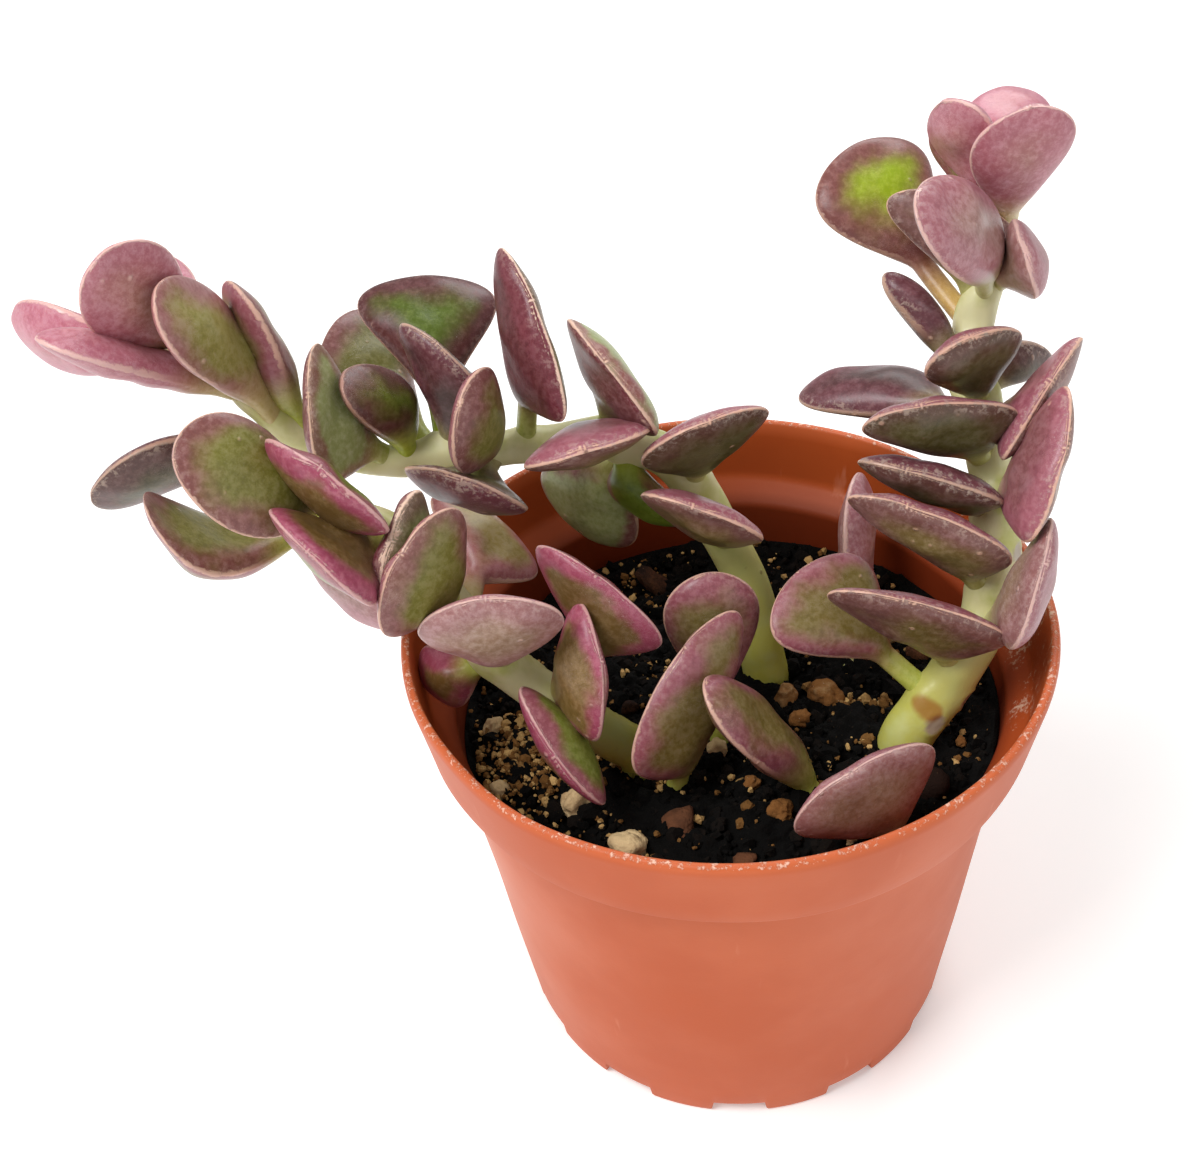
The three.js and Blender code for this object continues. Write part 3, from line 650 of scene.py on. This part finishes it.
def along_path(points, shares):
    """Places at shares of the length of a Catmull-Rom curve through the points: a cubic
    between each two points, whose slope at each is half the step between its neighbours."""
    points = np.array(points, float)
    padded = np.vstack([2 * points[0] - points[1], points, 2 * points[-1] - points[-2]])
    t = np.linspace(0, len(points) - 1, 40 * len(points))
    start = np.minimum(t.astype(int), len(points) - 2)
    a, b, c, d = (padded[start + k] for k in range(4))
    t = (t - start)[:, None]
    curve = 0.5 * (2 * b + (c - a) * t + (2 * a - 5 * b + 4 * c - d) * t ** 2
                   + (3 * b - a - 3 * c + d) * t ** 3)
    length = np.concatenate([[0], np.cumsum(np.linalg.norm(np.diff(curve, axis=0), axis=1))])
    return np.stack([np.interp(np.asarray(shares) * length[-1], length, curve[:, k])
                     for k in range(3)], -1)


def stem_ring(name, share):
    """Centre, direction and radius of a stem at a share of its length."""
    centre = along_path(STEMS[name]["points"], [max(share - 0.005, 0), share, min(share + 0.005, 1)])
    radii = STEMS[name]["radii"]
    radius = np.interp(share, np.linspace(0, 1, len(radii)), radii)
    return centre[1], unit(centre[2] - centre[0]), radius


def leaf_foot(leaf):
    """Foot of the stalk and the way the leaf leaves the stem: square out from the stem's
    side towards the apex, or straight up out of the soil."""
    if "foot" in leaf:
        return np.array(leaf["foot"]) - (0, 0, 4), np.array([0, 0, 1.0]), None
    centre, tangent, radius = stem_ring(leaf["stem"], leaf["at"])
    out = leaf["apex"] - centre
    squareness = 0 if leaf["at"] == 1 else STALK_SQUARENESS
    out = unit(out - squareness * (out @ tangent) * tangent)
    return centre + out * max(radius - STALK_BURIED, 0), tangent, out


def stem_grid(name, swellings, rows=220, columns=40):
    """A round tube along the curve. Its radius follows the stem's own radii, swells under
    each leaf as a soft bump, rounds off at the tip and has slow uneven relief."""
    points = np.array(STEMS[name]["points"], float)
    total = np.linalg.norm(np.diff(points, axis=0), axis=1).sum()
    root = points[0] - (0, 0, ROOT_DEPTH)
    centre = np.vstack([[root], [root], along_path(points, np.linspace(0, 1, rows)), points[-1:]])
    tangent = unit(np.gradient(centre[1:-1], axis=0))
    tangent = np.vstack([tangent[:1], tangent, tangent[-1:]])
    first = unit(np.cross(tangent, STEMS[name]["beside"]))
    second = np.cross(tangent, first)
    share = np.concatenate([[0, 0], np.linspace(0, 1, rows), [1]])
    radii = STEMS[name]["radii"]
    radius = np.interp(share, np.linspace(0, 1, len(radii)), radii)
    radius *= np.sqrt(np.clip((1 - share) * total / TIP_LENGTH, 0, 1))
    radius[[0, -1]] = 0
    around = np.linspace(0, 2 * np.pi, columns, endpoint=False)
    ways = (first[:, None] * np.cos(around)[:, None] + second[:, None] * np.sin(around)[:, None])
    swell = np.zeros(ways.shape[:2])
    for at, way in swellings:
        near = np.exp(-((share - at) * total / SWELLING_LENGTH) ** 2)[:, None]
        swell += SWELLING_HEIGHT * near * smooth_step(0.2, 1.0, ways @ way)
    scar = np.zeros(ways.shape[:2])
    for at, turn in SCARS[name]:
        gap = (around - np.radians(turn) + np.pi) % (2 * np.pi) - np.pi
        spot = np.hypot((share[:, None] - at) * total / SCAR_HALF_LENGTH,
                        gap * MEAN_RADIUS / SCAR_HALF_WIDTH)
        scar = np.maximum(scar, smooth_step(1.15, 0.85, spot))
        swell += SCAR_LIP * np.exp(-((spot - 1.05) / 0.25) ** 2)
        swell -= SCAR_DIP * smooth_step(1, 0.7, spot)
    uneven = 1 + 0.02 * ripple(centre[:, None] + 3 * ways, 9, 23)
    body = radius[:, None] * uneven + swell * (radius[:, None] > 0)
    side = smooth_step(0.3, 0.9, ways @ unit(STAIN_WAY))
    return centre[:, None] + ways * body[..., None], scar, share[:, None] + 0 * around, side


def stem_skin():
    """Smooth living skin: yellow-green at the root and paler above, clouded, with brown
    freckles, lilac-grey scars, and a rusty stain low on the stem."""
    tree, place = new_material("stem_skin")
    share = attribute(tree, "share")
    scar = attribute(tree, "scar")
    stain = attribute(tree, "stain")
    clouds = noise(tree, place, 120, 4)
    fine = noise(tree, place, 900, 3)
    freckle = add(tree, "ShaderNodeTexVoronoi", {"Vector": place, "Scale": 300.0}).outputs[0]
    colour = mixed(tree, masked(tree, share, 0.02, 0.40), srgb(192, 190, 84), srgb(222, 217, 168))
    colour = mixed(tree, masked(tree, clouds, 0.42, 0.66), colour, srgb(194, 196, 118))
    colour = mixed(tree, masked(tree, share, 0.80, 1.0, 0, 0.55), colour, srgb(196, 176, 138))
    dots = times(tree, masked(tree, freckle, 0.16, 0.07), masked(tree, clouds, 0.52, 0.6))
    colour = mixed(tree, times(tree, dots, 0.55), colour, srgb(132, 104, 60))
    colour = mixed(tree, times(tree, scar, 0.8), colour, srgb(170, 152, 146))
    rust = masked(tree, plus(tree, stain, times(tree, clouds, 0.8)), 0.85, 1.15)
    colour = mixed(tree, times(tree, rust, 0.8), colour, srgb(160, 100, 26))
    roughness = masked(tree, fine, 0.3, 0.7, 0.38, 0.55)
    bump = plus(tree, times(tree, fine, 0.35), times(tree, dots, 0.5))
    return surface("stem_skin", colour, roughness, bump, 0.00015, Subsurface_Weight=0.15,
                   Subsurface_Radius=(0.003, 0.003, 0.001), Coat_Weight=0.1, Coat_Roughness=0.35)


swellings = {name: [] for name in STEMS}
for leaf in {**LEAVES, **SMALL_LEAVES}.values():
    if "stem" in leaf:
        swellings[leaf["stem"]].append((leaf["at"], leaf_foot(leaf)[2]))

skin = stem_skin()
for name in STEMS:
    grid, scar, share, side = stem_grid(name, swellings[name])
    stain = (name == "right") * side * np.exp(-((share - STAIN_AT) / STAIN_LENGTH) ** 2)
    marks = {"share": share, "scar": scar, "stain": stain}
    stem = closed_skin(f"{name}_stem_skin", grid, skin, marks)
    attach(stem, "root")
    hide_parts(f"{name}_stem")

# ---- Leaves ---------------------------------------------------------------------------
# Each leaf is one thick water-filled fan on a short stalk. Both faces bulge and meet in a
# fine keel, which runs over the broad end from corner to corner. Sun has turned the upper
# face and the margins purple; shaded faces stay olive to silvery green under a waxy bloom.

STALK_SHARE, WIDEST_AT, BLADE_ROUNDNESS = 0.14, 0.68, 0.5
DEPTH_SKEW = 0.9
UPPER_THICKNESS, UPPER_ROUNDNESS, UPPER_SHARPNESS = 3.5, 0.42, 1.15
UNDER_THICKNESS, UNDER_ROUNDNESS, UNDER_SHARPNESS = 2.6, 0.58, 1.35
STALK_HALF_WIDTH, STALK_HALF_THICKNESS = 1.8, 1.45
FLARE, FLARE_LENGTH = 0.15, 1.5         # how the stalk's foot widens
BLEND_POWER = 3                         # how tightly the stalk and the blade run together
RIPPLE_HEIGHT, RIPPLE_SIZE = 0.22, 9

def leaf_grid(leaf, seed, rows=64, columns=56):
    """Sections set along the line from foot to apex. Half the width is the root of a sine,
    wider than the stalk; half the depth is a sine too, and each section is a lens with a
    sharp margin. The whole bows by a parabola and is rippled a little."""
    foot, upward, _ = leaf_foot(leaf)
    stalk = leaf.get("stalk", STALK_SHARE)
    widest = leaf.get("widest", WIDEST_AT)
    axis = leaf["apex"] - foot
    broad = np.array(leaf["across"], float)
    length = np.linalg.norm(axis)
    half_width = np.linalg.norm(broad) / 2
    face = unit(np.cross(axis, broad))
    if (face @ upward < 0) != leaf.get("turned", False):
        face = -face
    side = unit(np.cross(face, axis))
    lean = broad @ axis / length ** 2 / 2 * np.sign(side @ broad)
    along = 0.5 - 0.5 * np.cos(np.linspace(0, np.pi, rows))[:, None]
    around = np.linspace(0, 2 * np.pi, columns, endpoint=False)
    u = np.clip((along - stalk) / (1 - stalk), 0, 1)
    wide = np.sin(np.pi * u ** (np.log(0.5) / np.log(widest))) ** BLADE_ROUNDNESS
    hump = np.sin(np.pi * u ** DEPTH_SKEW)
    over = np.sin(around) > 0
    thick = np.where(over, UPPER_THICKNESS, UNDER_THICKNESS)
    deep = hump ** np.where(over, UPPER_ROUNDNESS, UNDER_ROUNDNESS)
    neck = (1 - smooth_step(0.25, 0.85, u)) * np.minimum(1, np.sqrt(along / 0.01))
    neck = neck * (1 + FLARE * np.exp(-along * length / FLARE_LENGTH))
    width = ((wide * half_width) ** BLEND_POWER
             + (neck * STALK_HALF_WIDTH) ** BLEND_POWER) ** (1 / BLEND_POWER)
    depth = ((deep * thick) ** BLEND_POWER
             + (neck * STALK_HALF_THICKNESS) ** BLEND_POWER) ** (1 / BLEND_POWER)
    x, s = np.cos(around), np.sin(around)
    blade = smooth_step(0, 0.35, u)
    sharp = 1 + (np.where(over, UPPER_SHARPNESS, UNDER_SHARPNESS) - 1) * blade
    lens = np.sign(s) * np.abs(s) ** sharp
    curl = -1 if np.cross(axis, broad) @ face < 0 else 1
    lift = curl * leaf.get("bend", 0) * 4 * along * (1 - along)
    grid = (foot + axis * (along + lean * x * wide)[..., None] + side * (x * width)[..., None]
            + face * (lens * depth + lift)[..., None])
    relief = RIPPLE_HEIGHT * blade * np.abs(lens) * ripple(grid, RIPPLE_SIZE, seed)
    grid = grid + face * relief[..., None]
    outline = np.stack([along + lean * wide, width / length], -1)[:, 0] * length
    other = np.stack([along - lean * wide, -width / length], -1)[:, 0] * length
    margin = np.concatenate([outline, other])
    flat = np.stack([(along + lean * x * wide) * length, x * width], -1)
    edge = np.linalg.norm(flat[:, :, None] - margin, axis=-1).min(-1)
    return grid, {"edge": edge / 10, "along": along + 0 * x, "upper": lens + 0 * along,
                  "shade": np.full(edge.shape, np.random.default_rng(seed).uniform(-1, 1))}


# What a finish gives the shared leaf skin, in the order of FINISHES below.
LEAF_COLOURS = ("Upper Blush", "Upper Flesh", "Under Blush", "Under Flesh", "Stalk", "Keel")
LEAF_AMOUNTS = ("Blush Width", "Bloom", "Keel Strength", "Scurf")


def leaf_skin_group():
    """Colours one leaf: purple blush from the margin inwards on each face, flesh colour in
    the middle, the stalk's colour at the foot, a broken pale keel, bloom, warts and fine
    scratches. Widths are in centimetres from the margin."""
    tree = bpy.data.node_groups.new("leaf_skin", "ShaderNodeTree")
    for label in LEAF_COLOURS:
        tree.interface.new_socket(label, in_out="INPUT", socket_type="NodeSocketColor")
    for label in LEAF_AMOUNTS:
        tree.interface.new_socket(label, in_out="INPUT", socket_type="NodeSocketFloat")
    tree.interface.new_socket("Colour", in_out="OUTPUT", socket_type="NodeSocketColor")
    tree.interface.new_socket("Roughness", in_out="OUTPUT", socket_type="NodeSocketFloat")
    tree.interface.new_socket("Height", in_out="OUTPUT", socket_type="NodeSocketFloat")
    given = tree.nodes.new("NodeGroupInput").outputs
    place = add(tree, "ShaderNodeTexCoord").outputs["Object"]
    edge, along, upper, shade = (attribute(tree, key) for key in ("edge", "along", "upper", "shade"))
    clouds = noise(tree, place, 110, 3)
    mottle = noise(tree, place, 900, 5, 0.7)
    pores = noise(tree, place, 2400, 2)
    reach = times(tree, sums(tree, "SUBTRACT", clouds, 0.5), 0.9)
    reach = plus(tree, plus(tree, edge, reach), times(tree, shade, 0.06))
    blush = masked(tree, sums(tree, "DIVIDE", reach, given["Blush Width"]), 1.0, 0.15)
    top = mixed(tree, blush, given["Upper Flesh"], given["Upper Blush"])
    below = mixed(tree, blush, given["Under Flesh"], given["Under Blush"])
    colour = mixed(tree, masked(tree, upper, -0.12, 0.12), below, top)
    colour = mixed(tree, masked(tree, along, 0.42, 0.12), colour, given["Stalk"])
    tone = masked(tree, plus(tree, mottle, times(tree, shade, 0.10)), 0.3, 0.7)
    grey = mixed(tree, tone, (0.25, 0.25, 0.25, 1), (0.8, 0.8, 0.8, 1))
    colour = mixed(tree, 0.5, colour, grey, "SOFT_LIGHT")
    frost = times(tree, masked(tree, pores, 0.50, 0.66), 0.3)
    haze = times(tree, plus(tree, masked(tree, mottle, 0.40, 0.68), frost),
                given["Bloom"])
    colour = mixed(tree, haze, colour, srgb(208, 194, 196))
    wart = add(tree, "ShaderNodeTexVoronoi", {"Vector": place, "Scale": 330.0}).outputs[0]
    warts = times(tree, masked(tree, wart, 0.20, 0.08), masked(tree, clouds, 0.56, 0.62))
    colour = mixed(tree, times(tree, warts, 0.45), colour, given["Keel"])
    swirl = add(tree, "ShaderNodeTexNoise", {"Vector": place, "Scale": 130.0}).outputs[1]
    bent = add(tree, "ShaderNodeVectorMath", {0: swirl, 1: swirl, 2: place},
               operation="MULTIPLY_ADD").outputs[0]
    cells = add(tree, "ShaderNodeTexVoronoi", {"Vector": bent, "Scale": 85.0},
                feature="DISTANCE_TO_EDGE").outputs[0]
    scratch = times(tree, masked(tree, cells, 0.016, 0.006),
                   masked(tree, noise(tree, place, 75, 2), 0.56, 0.66))
    colour = mixed(tree, times(tree, scratch, 0.42), colour, srgb(226, 208, 206))
    ragged = times(tree, sums(tree, "SUBTRACT", mottle, 0.5), 0.09)
    ragged = plus(tree, edge, ragged)
    keel = times(tree, masked(tree, ragged, 0.027, 0.007), masked(tree, along, 0.28, 0.5))
    colour = mixed(tree, times(tree, keel, given["Keel Strength"]), colour, given["Keel"])
    crust = times(tree, masked(tree, edge, 0.16, 0.03), masked(tree, mottle, 0.5, 0.6))
    crust = times(tree, times(tree, crust, given["Scurf"]),
                 masked(tree, along, 0.4, 0.6))
    colour = mixed(tree, crust, colour, srgb(214, 196, 176))
    out = tree.nodes.new("NodeGroupOutput")
    tree.links.new(colour, out.inputs["Colour"])
    rough = masked(tree, mottle, 0.3, 0.7, 0.30, 0.44)
    rough = plus(tree, rough, times(tree, crust, 0.3))
    rough = plus(tree, rough, times(tree, haze, 0.25))
    tree.links.new(rough, out.inputs["Roughness"])
    relief = plus(tree, times(tree, pores, 0.10), times(tree, warts, 0.9))
    relief = plus(tree, relief, times(tree, mottle, 0.35))
    relief = plus(tree, relief, times(tree, keel, 0.5))
    tree.links.new(plus(tree, relief, crust), out.inputs["Height"])
    return tree


FINISHES = {
    "fan": ((156, 88, 100), (128, 76, 78), (126, 84, 78), (122, 104, 54), (192, 190, 116),
            (234, 190, 166), 0.62, 0.08, 0.8, 0.25),
    # A darker copy of the fan finish: painted shade for leaves whose faces sit in shade.
    "shaded_fan": ((144, 82, 92), (96, 56, 56), (84, 54, 44), (72, 66, 28), (190, 188, 112),
             (226, 180, 156), 0.5, 0.05, 0.75, 0.3),
    "dark": ((108, 58, 66), (74, 44, 42), (88, 54, 48), (70, 66, 28), (150, 140, 96),
             (220, 182, 158), 0.55, 0.06, 0.65, 0.35),
    "lilac": ((164, 102, 110), (156, 114, 106), (158, 108, 106), (158, 128, 104), (190, 186, 118),
              (238, 200, 188), 0.75, 0.18, 0.65, 0.12),
    "young": ((186, 110, 126), (182, 116, 120), (178, 106, 118), (170, 120, 108), (204, 186, 132),
              (244, 206, 194), 0.9, 0.14, 0.65, 0.06),
    "silver": ((126, 58, 68), (100, 66, 56), (146, 106, 88), (156, 162, 104), (188, 192, 110),
               (236, 198, 174), 0.26, 0.14, 0.75, 0.15),
    "olive": ((140, 76, 86), (110, 94, 44), (126, 76, 72), (112, 108, 40), (180, 188, 80),
              (232, 190, 168), 0.48, 0.07, 0.7, 0.1),
    "blushed": ((160, 96, 100), (142, 122, 66), (150, 96, 94), (140, 132, 66), (190, 170, 110),
                (238, 196, 178), 0.5, 0.10, 0.65, 0.05),
    "lime": ((92, 44, 44), (82, 100, 2), (90, 48, 44), (92, 112, 2), (170, 184, 60),
             (206, 158, 142), 0.66, 0.03, 0.6, 0.08),
    "glow": ((132, 78, 72), (158, 180, 16), (128, 80, 66), (166, 190, 14), (206, 172, 100),
             (222, 180, 160), 0.72, 0.04, 0.6, 0.08),
    "green": ((120, 80, 60), (98, 116, 30), (112, 84, 50), (104, 122, 26), (150, 166, 50),
              (206, 178, 142), 0.14, 0.03, 0.5, 0.05),
    "maroon": ((108, 44, 54), (92, 42, 46), (116, 92, 72), (138, 142, 92), (176, 184, 100),
               (240, 206, 184), 0.4, 0.04, 0.9, 0.15),
    "pale": ((134, 84, 82), (146, 154, 100), (140, 92, 84), (150, 158, 102), (184, 188, 106),
             (232, 194, 172), 0.26, 0.10, 0.7, 0.1),
    "backed": ((142, 88, 82), (156, 164, 108), (116, 52, 60), (104, 54, 54), (188, 192, 110),
               (236, 198, 176), 0.22, 0.10, 0.8, 0.15),
    "magenta": ((162, 74, 98), (124, 96, 50), (150, 82, 92), (118, 126, 44), (180, 188, 80),
                (240, 200, 190), 0.3, 0.05, 0.5, 0.05),
}
leaf_skin = leaf_skin_group()


def leaf_finish(name):
    """A leaf's material: the shared skin with this finish's own colours and amounts."""
    tree, _ = new_material(f"leaf_{name}")
    skin = add(tree, "ShaderNodeGroup", node_tree=leaf_skin)
    for label, value in zip(LEAF_COLOURS + LEAF_AMOUNTS, FINISHES[name]):
        skin.inputs[label].default_value = srgb(*value) if label in LEAF_COLOURS else value
    return surface(f"leaf_{name}", skin.outputs[0], skin.outputs[1], skin.outputs[2], 0.00018,
                   Subsurface_Weight=0.12, Subsurface_Radius=(0.003, 0.0025, 0.001),
                   Coat_Weight=0.15, Coat_Roughness=0.25, Specular_IOR_Level=0.38)


finishes = {name: leaf_finish(name) for name in FINISHES}
for seed, (name, leaf) in enumerate({**LEAVES, **SMALL_LEAVES}.items(), start=100):
    grid, values = leaf_grid(leaf, seed)
    blade = closed_skin(f"{name}_blade", grid, finishes[leaf["finish"]], values)
    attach(blade, "root")
    if name in LEAVES:
        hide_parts(name)

# ---- Studio ---------------------------------------------------------------------------
# A pale seamless floor that glows a little, soft lights above at the left, behind at the
# right and faintly in front, and an even white surround, as for a catalogue picture.

FLOOR_SIZE, FLOOR_GLOW = 6.0, 0.22
SURROUND_STRENGTH = 0.42
# Each light's place, the height it faces, its size in metres and its power in watts.
LIGHTS = {"key": ((-0.45, -0.30, 0.95), 0.08, 0.5, 8.5),
          "back": ((0.25, 0.75, 0.8), 0.1, 0.6, 5.0),
          "fill": ((0.7, -0.6, 0.5), 0.08, 0.8, 1.5)}


def pale_floor():
    """Matt white paint with the faintest cloudiness."""
    tree, place = new_material("pale_floor")
    clouds = noise(tree, place, 3, 2)
    colour = mixed(tree, clouds, srgb(250, 250, 249), srgb(246, 247, 246))
    roughness = masked(tree, clouds, 0.3, 0.7, 0.7, 0.8)
    return surface("pale_floor", colour, roughness, clouds, 0.0001,
                   Emission_Color=(1, 1, 1, 1), Emission_Strength=FLOOR_GLOW)


half = FLOOR_SIZE / MM / 2
corners = np.array([(-half, -half, 0), (half, -half, 0), (half, half, 0), (-half, half, 0)])
floor = mesh_piece("floor", corners, [[0, 1, 2, 3]], pale_floor())


for name, (place, aim_z, size, power) in LIGHTS.items():
    lamp = bpy.data.lights.new(name, "AREA")
    lamp.size = size
    lamp.energy = power
    light = bpy.data.objects.new(name, lamp)
    way = Vector((0, 0, aim_z)) - Vector(place)
    facing = way.to_track_quat("-Z", "Y").to_matrix().to_4x4()
    light.matrix_world = Matrix.Translation(place) @ facing
    bpy.context.collection.objects.link(light)

world = bpy.data.worlds.new("white_surround")
world.use_nodes = True
world.node_tree.nodes["Background"].inputs[0].default_value = (1, 1, 1, 1)
world.node_tree.nodes["Background"].inputs[1].default_value = SURROUND_STRENGTH
bpy.context.scene.world = world
bpy.context.scene.view_settings.view_transform = "Standard"

CAMERA_PLACE = (0, -176.8, 246.5)
CAMERA_RIGHT = (0.99616, 0.03859, -0.07853)
CAMERA_UP = (0.03332, 0.66262, 0.74821)
LENS, SENSOR_WIDTH = 45.0, 36.0

camera_data = bpy.data.cameras.new("camera")
camera_data.lens = LENS
camera_data.sensor_width = SENSOR_WIDTH
camera = bpy.data.objects.new("camera", camera_data)
right = Vector(CAMERA_RIGHT)
up = Vector(CAMERA_UP)
turn = Matrix((right, up, right.cross(up))).transposed().to_4x4()
place = Vector((np.array(CAMERA_PLACE) + (AXIS_X, AXIS_Y, 0)) * MM)
camera.matrix_world = Matrix.Translation(place) @ turn
bpy.context.collection.objects.link(camera)
bpy.context.scene.camera = camera

bpy.context.view_layer.update()
